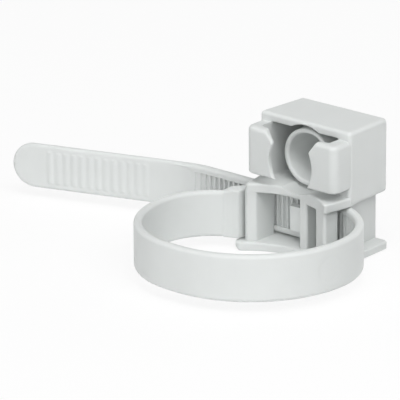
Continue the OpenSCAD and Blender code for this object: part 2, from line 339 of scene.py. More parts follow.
def joined(base: Object, other: Object, how: Join) -> Object:
    """Joins a second solid to a base, cuts it out of it, or keeps what they share, and takes it away.

    Args:
        base: Solid that stays.
        other: The second solid.
        how: Which of the three.

    Returns:
        The base, with its new mesh.
    """
    modifier = base.modifiers.new("join", "BOOLEAN")
    modifier.operation = how.value
    modifier.solver = "MANIFOLD"
    modifier.object = other
    graph = bpy.context.evaluated_depsgraph_get()
    mesh = bpy.data.meshes.new_from_object(base.evaluated_get(graph))
    base.modifiers.clear()
    spare = (base.data, other.data)
    base.data = mesh
    bpy.data.objects.remove(other)
    for old in spare:
        bpy.data.meshes.remove(old)
    return base


@dataclass(frozen=True)
class Path:
    """Plan path of straight runs and even turns, from a start and a heading in degrees."""

    start: Point2
    heading: float
    lengths: tuple[float, ...]
    curvatures: tuple[float, ...]

    @property
    def joints(self) -> Array:
        """Distance along the path at the start of each run, and at its end."""
        return np.concatenate([[0.0], np.cumsum(self.lengths)])

    def at(self, s: Array) -> tuple[Array, Array]:
        """Points and headings along the path.

        A run of curvature k that starts with heading h has gone, after a distance d, a chord of
        d * sin(k d / 2) / (k d / 2) in the direction h + k d / 2. The runs' chords add up.

        Args:
            s: Distances along the path. Past the end, the last run goes on.

        Returns:
            Points, and headings in radians.
        """
        length = np.asarray(self.lengths)
        bend = np.asarray(self.curvatures)
        heading = math.radians(self.heading) + np.concatenate([[0.0], np.cumsum(length * bend)[:-1]])

        def chord(d: Array, k: Array, h: Array) -> Array:
            """Chord of a run after a distance d."""
            way = h + 0.5 * k * d
            return (d * np.sinc(0.5 * k * d / np.pi))[:, None] * unit(way)

        gone = np.cumsum(chord(length, bend, heading), axis=0)
        origin = np.asarray(self.start) + np.concatenate([np.zeros((1, 2)), gone])
        i = np.clip(np.searchsorted(self.joints, s, side="right") - 1, 0, len(length) - 1)
        d = s - self.joints[i]
        return origin[i] + chord(d, bend[i], heading[i]), heading[i] + bend[i] * d


@dataclass
class Strap:
    """Toothed strap: it leaves the root, loops round, passes the channel and ends as the ribbed tail."""

    width: float = 8.8
    thickness: float = 1.6
    edge: float = 0.72
    mid_z: float = -11.65
    root_centre: Point2 = (-7.748, -27.806)
    root_turn: float = 11.8
    root_angle: float = 104.0
    left_flat: float = 0.494
    left_turn: float = 16.1
    front_flat: float = 2.048
    right_turn: float = 20.3
    entry_turn: float = 14.8
    channel_run: float = 27.7
    tail_bend: float = 20.0
    tail_bend_angle: float = 18.0
    tail_end: float = 30.0
    tail_slim: float = 0.1
    tooth_pitch: float = 1.15
    tooth_depth: float = 0.68
    tooth_slope: float = 0.85
    tooth_floor: float = 0.965
    tooth_step: float = 0.975
    tooth_rows: Point2 = (0.6, 0.97)
    rack_turn: float = 45.0
    rack_stop: float = 0.6
    rack_fade: Point2 = (1.0, 9.5)
    rack_clear: float = 0.03
    rail: float = 1.3
    rail_rows: tuple[float, ...] = (0.3, 0.06, 0.0, -0.06, -0.3)
    rail_fade: Point2 = (2.5, 1.0)
    rail_past: float = 0.4
    flat_rows: Point2 = (2.1, 1.1)
    row_guard: float = 0.05
    held_tooth: float = 7.55
    face_drop: float = 0.22
    drop_edge: float = 0.3
    drop_fade: Point2 = (2.0, 3.0)
    rib_count: int = 13
    rib_pitch: float = 1.636
    rib_height: float = 0.13
    rib_width: float = 1.15
    rib_half: float = 3.2
    rib_start: float = 3.4
    rib_fade: Point2 = (0.15, 0.25)
    rib_rows: int = 9
    tip_step: float = 3.0
    tip_last: float = 89.4
    mark_angle: float = 350.0
    mark_r: float = 2.6
    mark_depth: float = 0.05
    mark_rings: tuple[Point2, ...] = (
        (1.04, -8.0), (1.04, -0.02), (1.0, 0.0), (0.93, 0.7), (0.88, 1.0), (0.7, 1.0), (0.5, 1.0), (0.3, 1.0),
        (0.1, 1.0),
    )
    mark_points: int = 72
    ring_spacing: float = 0.6
    ring_merge: float = 0.012
    fine_spacing: float = 0.01
    ramp_reach: float = 4.0
    ramp_spacing: float = 0.25

    def path(self) -> Path:
        """Path of the middle of the strap, from inside the root to the centre of the round tip.

        Returns:
            The path.
        """
        angle = math.radians(self.root_angle)
        start = (self.root_centre[0] + self.root_turn * math.cos(angle),
                 self.root_centre[1] + self.root_turn * math.sin(angle))
        turns = (self.root_turn, self.left_turn, self.right_turn, self.entry_turn, self.tail_bend)
        root, left, right, entry, bend = turns
        quarter = 0.5 * math.pi
        return Path(
            start, self.root_angle + 90.0,
            (root * math.radians(180.0 - self.root_angle), self.left_flat, left * quarter, self.front_flat,
             right * quarter, entry * quarter, self.channel_run, bend * math.radians(self.tail_bend_angle),
             self.tail_end),
            (1 / root, 0.0, 1 / left, 0.0, 1 / right, 1 / entry, 0.0, 1 / bend, 0.0),
        )

    def tooth_count(self, s: Array) -> Array:
        """How many teeth have gone by along the path, with a whole number at the tooth that is held.

        A tooth takes one pitch along the inner face, so on a turn of radius r the count grows by
        (1 - thickness / 2 / r) / pitch for each millimetre of the middle line.

        Args:
            s: Distances along the path.

        Returns:
            The count at each distance.
        """
        path = self.path()
        rate = (1.0 - 0.5 * self.thickness * np.asarray(path.curvatures)) / self.tooth_pitch
        total = np.concatenate([[0.0], np.cumsum(rate * np.asarray(path.lengths))])
        held = path.joints[Leg.CHANNEL] + self.held_tooth
        return np.interp(s, path.joints, total) - np.interp(held, path.joints, total)

    def section(self) -> tuple[Array, Array]:
        """Outline of the strap across its path, with close rows at the foot of the rails.

        Returns:
            Place towards the inner face and place up the width, for each point in order.
        """
        half_t = 0.5 * self.thickness
        half_w = 0.5 * self.width
        flat = half_w - self.edge
        last = flat - self.row_guard
        rails = half_w - self.rail + np.array(self.rail_rows)
        side = np.concatenate([[last], rails, self.flat_rows])
        inner = np.concatenate([-side, [0.0], side[::-1]])
        outer = np.array([last, 0.5 * flat, 0.0, -0.5 * flat, -last])
        up, over, down, under = (
            arc((x * (half_t - self.edge), z * flat), self.edge, start, start + 90.0, count=8)
            for x, z, start in ((1, 1, 0.0), (-1, 1, 90.0), (-1, -1, 180.0), (1, -1, 270.0))
        )
        loop = np.concatenate([
            np.column_stack([np.full(len(inner), half_t), inner]),
            up, over,
            np.column_stack([np.full(len(outer), -half_t), outer]),
            down, under,
        ])
        return loop[:, 0], loop[:, 1]

    def stations(self) -> Array:
        """Places of the strap's rings.

        They lie evenly all along, at the teeth's corners, across the ribs, and closer where the teeth end.

        Returns:
            Distances along the path, in order.
        """
        path = self.path()
        end = path.joints[-1]
        plain = steps_between(0.0, end, self.ring_spacing)
        fine = steps_between(path.joints[Leg.RIGHT], end, self.fine_spacing)
        low, high = self.rack_span()
        first, last = self.tooth_count(np.array([low, high]))
        whole = np.arange(math.ceil(first), math.floor(last) + 1)
        corners = (whole[:, None] + np.array([0.0, 1.0 - self.tooth_slope, *self.tooth_rows])).ravel()
        teeth = np.interp(corners, self.tooth_count(fine), fine)
        ribs = (end - self.rib_start - np.arange(self.rib_count) * self.rib_pitch)[:, None]
        ribs = (ribs + np.linspace(-0.5, 0.5, self.rib_rows) * self.rib_width).ravel()
        ramp = steps_between(high - self.ramp_reach, high + self.ramp_reach, self.ramp_spacing)
        s = np.sort(np.concatenate([plain, teeth, ribs, ramp]))
        s = s[(s >= 0.0) & (s <= end)]
        return s[np.concatenate([[True], np.diff(s) > self.ring_merge])]

    def rack_span(self) -> tuple[float, float]:
        """Stretch of the path that has teeth.

        Returns:
            Distances where they start and where they end.
        """
        joints = self.path().joints
        start = joints[Leg.ENTRY] - self.right_turn * math.radians(self.rack_turn)
        return float(start), float(joints[Leg.TAIL] - self.rack_stop)

    def hollow(self, s: Array, z: Array) -> Array:
        """How far the inner face lies below the rails.

        Along a tooth's pitch the face is level for a share of 1 - slope, falls evenly to the tooth's depth,
        and steps back up. The teeth lie between the rails and fade out at both ends. The tail's face is a
        little lower than the rails, which narrow to nothing where the tail starts, and each rib on it is an
        arched rise of height * (1 - (2 x / width) squared).

        Args:
            s: Distances along the path, as a column.
            z: Places up the width, as a row.

        Returns:
            Depth at each distance and place.
        """
        low, high = self.rack_span()
        end = self.path().joints[-1]
        part = self.tooth_count(s) % 1.0
        saw = np.clip((part - (1.0 - self.tooth_slope)) / self.tooth_slope / self.tooth_floor, 0.0, 1.0)
        saw = np.where(part > self.tooth_step, 0.0, saw)
        fade_in, fade_out = self.rack_fade
        saw = saw * smooth_step(low, low + fade_in, s) * smooth_step(high, high - fade_out, s)
        rack = 0.5 * self.width - self.rail
        between = (np.abs(z) < rack - self.rack_clear).astype(float)
        before, after = self.rail_fade
        widen = smooth_step(high - before, high + after, s)
        rail_from = rack + (self.rail + self.rail_past) * widen
        dropped = self.face_drop * widen * smooth_step(rail_from, rail_from - self.drop_edge, np.abs(z))
        x = (end - self.rib_start - s) / self.rib_pitch
        nearest = np.clip(np.round(x), 0, self.rib_count - 1)
        off = (x - nearest) * self.rib_pitch
        rib = self.rib_height * np.clip(1.0 - (2.0 * off / self.rib_width) ** 2, 0.0, 1.0)
        outside, inside = self.rib_fade
        rib = rib * smooth_step(self.rib_half + outside, self.rib_half - inside, np.abs(z))
        return np.maximum(self.tooth_depth * saw * between, dropped) - rib

    def build(self) -> Object:
        """Strap as one closed skin: the section carried along the path, and turned round at the tip.

        At the tip, a ring at the angle a stands (half width - inset) * sin(a) ahead of the tip's centre and
        is cos(a) times as wide. The inset is how far the rounded edge stands in at each place across.

        Returns:
            The new object.
        """
        n, z = self.section()
        half_t = 0.5 * self.thickness
        half_w = 0.5 * self.width
        s = self.stations()
        path = self.path()
        tail = path.joints[Leg.TAIL]
        tip = np.radians(np.append(np.arange(2.0 * self.tip_step, 90.0, self.tip_step), self.tip_last))
        slim = smooth_step(path.joints[Leg.BEND], tail, s) * self.tail_slim
        thin = 1.0 - 0.5 * slim[:, None] / half_t
        inner = np.isclose(n, half_t)
        sunk = np.where(inner[None], self.hollow(s[:, None], z[None]), 0.0)
        over = np.clip(np.abs(n) - (half_t - self.edge), 0.0, self.edge)
        inset = self.edge - np.sqrt(np.clip(self.edge ** 2 - over ** 2, 0.0, None))
        radius = half_w - 0.5 * self.tail_slim - inset
        before, after = self.drop_fade
        lower = np.where(n > 0, self.face_drop * n / half_t, 0.0)[None]
        lower = lower * smooth_step(tail - before, tail + after, s)[:, None]
        across = n[None] * thin - np.where(inner[None], sunk, lower)
        height = z[None] * (1.0 - 0.5 * slim[:, None] / half_w)
        along = np.zeros_like(across)
        ends = np.broadcast_to(across[-1], (len(tip), len(n)))
        across = np.concatenate([across, ends])
        height = np.concatenate([height, height[-1][None] * np.cos(tip)[:, None]])
        along = np.concatenate([along, radius[None] * np.sin(tip)[:, None]])
        middle, heading = path.at(np.concatenate([s, np.full(len(tip), s[-1])]))
        ahead = unit(heading)[:, None]
        plan = middle[:, None] + across[..., None] * leftward(ahead) + along[..., None] * ahead
        rings = np.concatenate([plan, (self.mid_z + height)[..., None]], axis=-1)
        strap = Shell.from_rings(rings).to_object("strap")
        return joined(strap, self.mark().to_object("mark"), Join.CUT)

    def mark(self) -> Shell:
        """Cutter for the shallow round mark on the outer face of the front right turn.

        Each ring lies round the middle of the mark, at its own shares of the mark's radius and depth, and
        bends with the strap. The first one is clear of the outer face. The turn starts at 270 degrees.

        Returns:
            The closed solid.
        """
        share = np.array(self.mark_rings)
        radius = share[:, :1] * self.mark_r
        depth = share[:, 1:] * self.mark_depth
        angle = full_turn(self.mark_points)
        path = self.path()
        middle = path.joints[Leg.RIGHT] + self.right_turn * math.radians(self.mark_angle - 270.0)
        s = middle + radius * np.cos(angle)
        point, heading = path.at(s.ravel())
        across = np.broadcast_to(depth - 0.5 * self.thickness, s.shape).ravel()[:, None]
        plan = point + across * leftward(unit(heading))
        height = self.mid_z + radius * np.sin(angle)
        return Shell.from_rings(np.concatenate([plan, height.reshape(-1, 1)], axis=1).reshape(*s.shape, 3))


@dataclass
class Saddle:
    """Front of the head, which holds the strap.

    It has the root block with its living hinge, the posts round the cradle, the pawl, the top plate, the
    bottom flange and the wall body. Outlines are in plan, with a corner radius for each point.
    """

    strap_low: float = -16.05
    strap_high: float = -7.25
    root_outline: tuple[Point2, ...] = (
        (-10.4, -17.16), (-10.4, -14.87), (-8.6, -14.87), (-8.6, -13.77), (-11.75, -13.77), (-13.14, -15.45),
        (-14.2, -16.85), (-13.3, -18.33), (-12.5, -17.93), (-11.5, -17.5),
    )
    root_radii: tuple[float, ...] = (0.45, 0.2, 0.45, 0.45, 0.5, 1.0, 0.5, 0.5, 1.0, 1.0)
    root_edge: float = 0.35
    root_rise: float = 0.46
    root_sink: float = 0.1
    root_ramp: Point2 = (-21.55, -20.05)
    root_ramp_turn: float = 40.3
    pawl_outline: tuple[Point2, ...] = (
        (1.6, -10.45), (0.55, -10.45), (-2.32, -10.25), (-3.3, -9.7), (-2.75, -11.8), (0.55, -11.75),
        (1.6, -11.75),
    )
    pawl_radii: tuple[float, ...] = (0.15, 0.3, 0.15, 0.13, 0.2, 0.3, 0.15)
    pawl_edge: float = 0.1
    pawl_guard: float = 0.02
    pawl_low: float = -14.05
    pawl_high: float = -9.3
    flange_low: float = -18.0
    flange_high: float = -16.35
    plate_low: float = -7.05
    plate_high: float = -5.3
    cradle: Point2 = (-0.2, -26.85)
    cradle_r: float = 13.7
    corner_x: float = 9.3
    corner_y: float = -16.85
    corner_cut: float = 0.6
    corner_set: float = 0.3
    left_wall: Point2 = (-9.75, -7.65)
    left_back: float = -10.2
    middle_post: Point2 = (0.5, 2.4)
    right_post: Point2 = (5.25, 8.8)
    post_back: float = -10.45
    right_back: float = -12.35
    lintel_low: float = -7.6
    post_edge: float = 0.5
    rear_edge: float = 0.25
    post_sweep: float = 2.0
    lintel_lap: Point2 = (0.6, 0.4)
    lintel_edge: float = 0.15
    flange_left: float = 11.3
    flange_right: float = 10.8
    flange_corner: float = 0.9
    flange_edges: Point2 = (0.2, 0.3)
    flange_lift: float = 0.22
    flange_ahead: float = 1.0
    horn_under: float = 0.8
    horn_radii: Point3 = (1.0, 0.42, 0.5)
    left_horn: Point2 = (-9.9, -17.05)
    right_horn: Point2 = (9.9, -17.8)
    plate_left: float = 9.45
    plate_back_half: float = 10.4
    plate_rear: Point2 = (9.7, -5.45)
    plate_front_edge: float = 0.45
    plate_radii: Point3 = (0.5, 0.6, 0.45)
    plate_edges: Point2 = (0.3, 0.35)
    box_depth: float = 10.9
    body_half: float = 7.85
    body_depth: float = 8.2
    body_radii: tuple[float, ...] = (0.15, 0.15, 0.4, 0.4)
    core_wall: float = 1.6
    core_corner: float = 0.3
    core_edge: float = 0.2

    def cradle_arc(self, left: float, right: float, count: int) -> Array:
        """Points on the hollow front, evenly spread across: the circle's centre plus its rise at each x."""
        x = np.linspace(left, right, count)
        return np.column_stack([x, self.cradle[1] + np.sqrt(self.cradle_r ** 2 - (x - self.cradle[0]) ** 2)])

    def post(self, name: str, span: Point2, back: float) -> Object:
        """Post between the flange and the plate, with the hollow front.

        One that passes the left end of the hollow gets a blunt corner there.

        Args:
            name: Name of the object.
            span: Left and right side.
            back: Where it ends towards the wall.

        Returns:
            The new object.
        """
        left, right = span
        tip_x = self.corner_set - self.corner_x
        corners = [[right, back], [left, back]]
        if left < tip_x:
            corners.append([left, self.corner_y + self.corner_cut])
        corners = np.concatenate([corners, self.cradle_arc(max(left, tip_x), right, count=4)])
        radii = np.full(len(corners), self.post_edge)
        radii[:2] = self.rear_edge
        radii[-3:-1] = self.post_sweep
        outline = Outline.rounded(corners, radii)
        return outline.carried(Run.UP, self.flange_high - LAP, self.plate_low + LAP).to_object(name)

    def lintel(self) -> Object:
        """Bar under the plate that bridges the slot between the middle and the right post.

        Returns:
            The new object.
        """
        side, deep = self.lintel_lap
        left, right = self.middle_post[1] - side, self.right_post[0] + side
        back = self.right_back + deep
        front = self.cradle_arc(left, right, count=5)
        corners = np.concatenate([[[right, back], [left, back]], front])
        r = self.rear_edge
        outline = Outline.rounded(corners, [r, r] + swept(r, front, r), self.lintel_edge)
        return outline.carried(Run.UP, self.lintel_low, self.plate_low + LAP).to_object("lintel")

    def root(self) -> Object:
        """Thick end of the strap, with the thin hinge behind the groove that joins it to the left wall.

        Its top rises evenly out of the strap along the ramp: a point loses the rise, and the sink below the
        strap, times its share of the height and what is left of the ramp.

        Returns:
            The new object.
        """
        outline = Outline.rounded(self.root_outline, self.root_radii, self.root_edge, self.root_edge)
        high = self.strap_high + self.root_rise
        shell = outline.carried(Run.UP, self.strap_low, high)
        z = shell.points[:, 2]
        turn = math.radians(self.root_ramp_turn)
        along = shell.points[:, :2] @ [math.cos(turn), math.sin(turn)]
        up = (z - self.strap_low) / (high - self.strap_low)
        start, stop = self.root_ramp
        short = 1.0 - np.clip((along - start) / (stop - start), 0.0, 1.0)
        shell.points[:, 2] = z - (self.root_rise + self.root_sink) * up * short
        return shell.to_object("root")

    def pawl(self) -> Object:
        """Slanted tongue from the middle post to the tooth that it holds.

        Returns:
            The new object.
        """
        edge, guard = self.pawl_edge, self.pawl_guard
        outline = Outline.rounded(self.pawl_outline, self.pawl_radii, edge, edge, guard=guard)
        return outline.carried(Run.UP, self.pawl_low, self.pawl_high, guard=guard).to_object("pawl")

    def flange(self) -> Object:
        """Bottom flange with the same hollow front as the saddle, between two horns.

        It stands a little ahead of the saddle. Its underside rises evenly by the lift from the left end to
        the right one: a point gains the lift times its shares of the depth below the top and of the length.

        Returns:
            The new object.
        """
        left, right = self.flange_left, self.flange_right
        front = self.cradle_arc(self.left_horn[0], self.right_horn[0], count=27) - [0.0, self.flange_ahead]
        corners = np.concatenate([
            [[right, 0.0], [-left, 0.0], [-left, self.left_horn[1]]], front, [[right, self.right_horn[1]]],
        ])
        horn, inside, end = self.horn_radii
        radii = [self.flange_corner] * 2 + [horn] + swept(horn, front, inside) + [end]
        below, above = self.flange_edges
        under = np.full(len(corners), below)
        under[1:3] = self.horn_under
        outline = Outline.rounded(corners, radii, under, above)
        shell = outline.carried(Run.UP, self.flange_low, self.flange_high)
        x, z = shell.points[:, 0], shell.points[:, 2]
        down = (self.flange_high - z) / (self.flange_high - self.flange_low)
        shell.points[:, 2] = z + self.flange_lift * down * (x + left) / (left + right)
        return shell.to_object("flange")

    def plate(self) -> Object:
        """Top plate, which is the floor of the mount box carried forward to the hollow front.

        Returns:
            The new object.
        """
        x, y, edge = self.corner_x, self.corner_y + self.corner_cut, self.plate_front_edge
        wide, deep = self.plate_back_half, -self.box_depth
        rear_x, rear_y = self.plate_rear
        front = self.cradle_arc(edge - self.plate_left, x - edge, count=23)
        corners = np.concatenate([
            [[rear_x, rear_y], [-rear_x, rear_y], [-wide, deep], [-self.plate_left, y]],
            front,
            [[x, y], [wide, deep]],
        ])
        back, side, tip = self.plate_radii
        radii = [edge, edge, back, side] + swept(tip, front, tip) + [side, back]
        outline = Outline.rounded(corners, radii, *self.plate_edges)
        return outline.carried(Run.UP, self.plate_low, self.plate_high).to_object("plate")

    def wall_body(self) -> Object:
        """Block between the channel and the wall, hollow from behind on each side of a rib.

        Returns:
            The new object.
        """
        half, deep = self.body_half, self.body_depth
        low, high = self.flange_high, self.plate_low
        corners = [[half, 0.0], [-half, 0.0], [-half, -deep], [half, -deep]]
        block = Outline.rounded(corners, self.body_radii).carried(Run.UP, low - LAP, high + LAP)
        body = block.to_object("body")
        core = (2 * half - 3 * self.core_wall) / 2
        room = high - low - self.core_wall
        for side in (-1, 1):
            middle = side * (core + self.core_wall) / 2
            base = low + self.core_wall / 2
            ring = np.array([[-core / 2, 0.0], [core / 2, 0.0], [core / 2, room], [-core / 2, room]])
            outline = Outline.rounded(ring + [middle, base], self.core_corner, self.core_edge)
            cutter = outline.carried(Run.DEPTH, -deep + self.core_wall, PAST)
            body = joined(body, cutter.to_object("core"), Join.CUT)
        return body

    def build(self) -> list[Object]:
        """All the solids of the saddle but the plate.

        Returns:
            The new objects, in the order that they are joined.
        """
        return [
            self.root(), self.pawl(), self.flange(), self.wall_body(),
            self.post("left_wall", self.left_wall, self.left_back),
            self.post("middle_post", self.middle_post, self.post_back),
            self.post("right_post", self.right_post, self.right_back),
            self.lintel(),
        ]


@dataclass
class Mount:
    """Open-fronted box that takes the fixing, with its socket tube and the two hooked jaws."""

    half_w: float = 10.4
    depth: float = 10.9
    low: float = -6.95
    high: float = 7.05
    edge: float = 0.65
    corner: float = 0.75
    left_taper: float = 0.11
    pocket_half: float = 7.8
    floor: float = -5.3
    ceiling: float = 5.45
    back: float = 1.6
    arch_r: float = 6.3
    room_r: float = 6.2
    pocket_corners: Point2 = (0.5, 0.6)
    arch_edge: float = 0.9
    trough_edge: float = 0.2
    rim_edge: float = 0.25
    rim_past: float = 0.002
    ahead: float = 20.0
    tube_r: float = 5.4
    tube_end: float = 10.15
    tube_edge: float = 0.3
    tube_core: float = 2.0
    tube_lap: float = 0.4
    rim_guard: float = 0.1
    mouth_r: float = 4.5
    mouth_depth: float = 2.2
    mouth_cone: Point2 = (0.13, 0.7)
    mouth_edge: float = 0.5
    core_r: float = 4.0
    screw_r: float = 2.3
    screw_step: float = 0.02
    jaw_half: float = 10.3
    jaw_low: float = -3.7
    jaw_high: float = 5.36
    jaw_front: float = 15.2
    jaw_lip: float = 1.7
    nose_lip: float = 0.55
    jaw_past: float = 2.0
    jaw_inner: float = 0.5
    jaw_lap: float = 0.3
    jaw_gap: float = 0.01
    plan_r: float = 1.0
    room_corner: float = 0.3
    hook_edge: float = 0.6
    nose_edge: float = 0.5
    jaw_r: float = 6.7
    jaw_points: int = 13
    jaw_over: float = 1.9
    nose_z: float = 3.1
    nose_x: float = 4.04
    chamfer_x: float = 5.84
    jaw_corner: float = 1.5
    jaw_edge: float = 0.4
    jaw_low_edge: float = 0.5
    jaw_top_edge: float = 0.85

    def outside(self) -> Object:
        """Outside of the box, with round edges all over.

        The left half narrows towards the wall: x is multiplied by 1 - taper * (share of the depth).

        Returns:
            The new object.
        """
        w, r = self.half_w, self.edge
        corners = [[w, self.low], [w, self.high], [-w, self.high], [-w, self.low]]
        shell = Outline.rounded(corners, self.corner, r, r).carried(Run.DEPTH, -self.depth, 0.0)
        x, share = shell.points[:, 0], 1.0 + shell.points[:, 1] / self.depth
        shell.points[:, 0] = np.where(x < 0.0, x * (1.0 - self.left_taper * share), x)
        return shell.to_object("mount_box")

    def pocket(self) -> Object:
        """Room in the front of the box: flat-topped, with an arch over the tube and a trough under it.

        Its front end flares, which rounds the rim of the box at the top and the sides.

        Returns:
            The new object.
        """
        half, top, low = self.pocket_half, self.ceiling, self.floor
        arch_x = math.sqrt(self.arch_r ** 2 - top ** 2)
        trough_x = math.sqrt(self.room_r ** 2 - low ** 2)
        rise = math.degrees(math.atan2(top, arch_x))
        fall = math.degrees(math.atan2(low, trough_x))
        arch = arc((0.0, 0.0), self.arch_r, rise, 180.0 - rise, count=9)
        trough = arc((0.0, 0.0), self.room_r, -180.0 - fall, fall, count=7)
        corners = np.concatenate([[[half, low], [half, top]], arch, [[-half, top], [-half, low]], trough])
        foot, head = self.pocket_corners
        over = swept(self.arch_edge, arch, self.arch_edge)
        under = swept(self.trough_edge, trough, self.trough_edge)
        radii = [foot, head] + over + [head, foot] + under
        upper = len(arch) + 3
        flare = np.concatenate([np.full(upper, -self.rim_edge), np.zeros(len(corners) - upper)])
        outline = Outline.rounded(corners, radii, flare, 0.0)
        return outline.carried(Run.DEPTH, -self.depth - self.rim_past, -self.back).to_object("pocket")

    def front_clearance(self) -> Object:
        """Trough in the plate, in front of the box: a round bar along the axis of the socket."""
        ends = np.array([[self.room_r, -self.ahead], [self.room_r, -self.depth + PAST]])
        return turned_about_depth(ends).to_object("trough")

    def tube(self) -> Object:
        """Tube that stands on the back wall, solid, with a round rim outside.

        Returns:
            The new object.
        """
        wide, end = self.tube_r, -self.tube_end
        r, guard = self.tube_edge, self.rim_guard
        profile = np.concatenate([
            [[self.tube_core, end], [wide - r - guard, end]],
            arc((wide - r, end + r), r, -90.0, 0.0, count=7),
            [[wide, end + r + 2 * guard], [wide, -self.back + self.tube_lap]],
        ])
        return turned_about_depth(profile).to_object("tube")

    def bores(self) -> Object:
        """Bores of the socket.

        A mouth with a round rim is followed by a short cone, a core that narrows evenly, and the screw hole.

        Returns:
            The new object.
        """
        wide, end, r = self.mouth_r, -self.tube_end, self.mouth_edge
        cone = end + self.mouth_depth
        narrower, longer = self.mouth_cone
        profile = np.concatenate([
            [[wide + r, -self.ahead]],
            arc((wide + r, end + r), r, 270.0, 180.0, count=7),
            [[wide, end + r + self.rim_guard], [wide, cone], [wide - narrower, cone + longer]],
            [[self.core_r, -self.back - self.screw_step], [self.screw_r, -self.back], [self.screw_r, PAST]],
        ])
        return turned_about_depth(profile).to_object("bores")

    def jaw(self, side: int) -> Object:
        """Hooked jaw: what a front outline, carried from the wall, and a plan, carried upwards, both hold.

        The front outline has the hollow inner face, the nose and the lead-in chamfer, and rounds their front
        edges. The plan has the broad round corner, and rounds the top and bottom edges.

        Args:
            side: 1 for the right one and -1 for the left one.

        Returns:
            The new object: an arm in line with the side of the box, with a lip across its front.
        """
        past, plan_r = self.jaw_past, self.plan_r
        low, high, half, far = self.jaw_low, self.jaw_high, self.jaw_half, -self.jaw_front
        lean = (self.chamfer_x - self.nose_x) / (high - self.nose_z)
        z = np.linspace(self.nose_z, low - past, self.jaw_points)
        hollow = np.column_stack([np.sqrt(self.jaw_r ** 2 - z ** 2) - self.jaw_over, z])
        front = np.concatenate([
            [[half + past, low - past], [half + past, high + past]],
            [[self.chamfer_x + past * lean, high + past]],
            hollow,
        ])
        radii = [self.hook_edge] * 3 + swept(self.nose_edge, hollow, self.hook_edge)
        plan = np.array([[half, 0.0], [self.jaw_inner, 0.0], [self.jaw_inner, far], [half, far]])
        plan_radii = np.array([plan_r, plan_r, plan_r, self.jaw_corner])
        if side < 0:
            front, radii = front[::-1] * [-1, 1], radii[::-1]
            plan = np.concatenate([plan, [[half, -self.depth]]])
            plan[0, 0] *= 1.0 - self.left_taper
            plan = plan[::-1] * [-1, 1]
            plan_radii = np.append(plan_radii, plan_r)[::-1]
        hook = Outline.rounded(front, radii, self.jaw_edge, 0.0)
        made = hook.carried(Run.DEPTH, far - self.jaw_gap, -self.back + self.jaw_lap).to_object("jaw")
        block = Outline.rounded(plan, plan_radii, self.jaw_low_edge, self.jaw_top_edge)
        made = joined(made, block.carried(Run.UP, low, high).to_object("block"), Join.KEEP)
        wide, nose = self.pocket_half, self.nose_x
        lip, thin = far + self.jaw_lip, far + self.nose_lip
        inside = [[wide, PAST], [-wide, PAST], [-wide, lip], [-nose, thin], [nose, thin], [wide, lip]]
        room = Outline.rounded(inside, self.room_corner).carried(Run.UP, low - past, high + past)
        return joined(made, room.to_object("room"), Join.CUT)

    def build(self, plate: Object) -> Object:
        """Box with its pocket, the plate under it, the jaws and the bored tube, as one solid.

        Args:
            plate: Top plate of the saddle.

        Returns:
            The mount, in one object.
        """
        mount = joined(self.outside(), plate, Join.ADD)
        mount = joined(mount, self.pocket(), Join.CUT)
        mount = joined(mount, self.front_clearance(), Join.CUT)
        for solid in (self.jaw(1), self.jaw(-1), self.tube()):
            mount = joined(mount, solid, Join.ADD)
        return joined(mount, self.bores(), Join.CUT)


class Term:
    """Shader socket that takes part in sums and products, each of which adds one Math node."""

    def __init__(self, graph: Graph, socket: bpy.types.NodeSocket) -> None:
        """Wraps an output socket of a graph."""
        self.graph = graph
        self.socket = socket

    def _math(self, operation: str, first: Any, second: Any) -> Term:
        """Result of one Math node on two values."""
        return self.graph.node("ShaderNodeMath", {"operation": operation}, {0: first, 1: second})

    def __add__(self, other: Any) -> Term:
        """Sum."""
        return self._math("ADD", self, other)

    __radd__ = __add__

    def __mul__(self, other: Any) -> Term:
        """Product."""
        return self._math("MULTIPLY", self, other)


class Graph:
    """Node graph of a material or a world."""

    def __init__(self, block: bpy.types.Material | bpy.types.World) -> None:
        """Starts the graph of a material or a world from nothing.

        Args:
            block: The material or the world.
        """
        block.use_nodes = True
        self.tree = block.node_tree
        self.tree.nodes.clear()

    def node(self, kind: str, settings: Mapping[str, Any], sockets: Mapping[Any, Any], out: Any = 0) -> Term:
        """Adds one node.

        Args:
            kind: Blender's name of the node's type.
            settings: Properties of the node, which are set first.
            sockets: Value or link of each input, by name or place.
            out: Output that the result stands for, by name or place.

        Returns:
            The output as a term.
        """
        made = self.tree.nodes.new(kind)
        for name, value in settings.items():
            setattr(made, name, value)
        for key, value in sockets.items():
            if isinstance(value, Term):
                self.tree.links.new(value.socket, made.inputs[key])
            else:
                made.inputs[key].default_value = value
        return Term(self, made.outputs[out] if len(made.outputs) else None)

    def seen(self) -> Term:
        """1 for what the camera sees, also in a reflection or through something, and 0 for scattered light.

        Returns:
            The sum of the three kinds of ray.
        """
        kinds = ("Is Camera Ray", "Is Glossy Ray", "Is Transmission Ray")
        camera, glossy, through = (self.node("ShaderNodeLightPath", {}, {}, kind) for kind in kinds)
        return camera + glossy + through


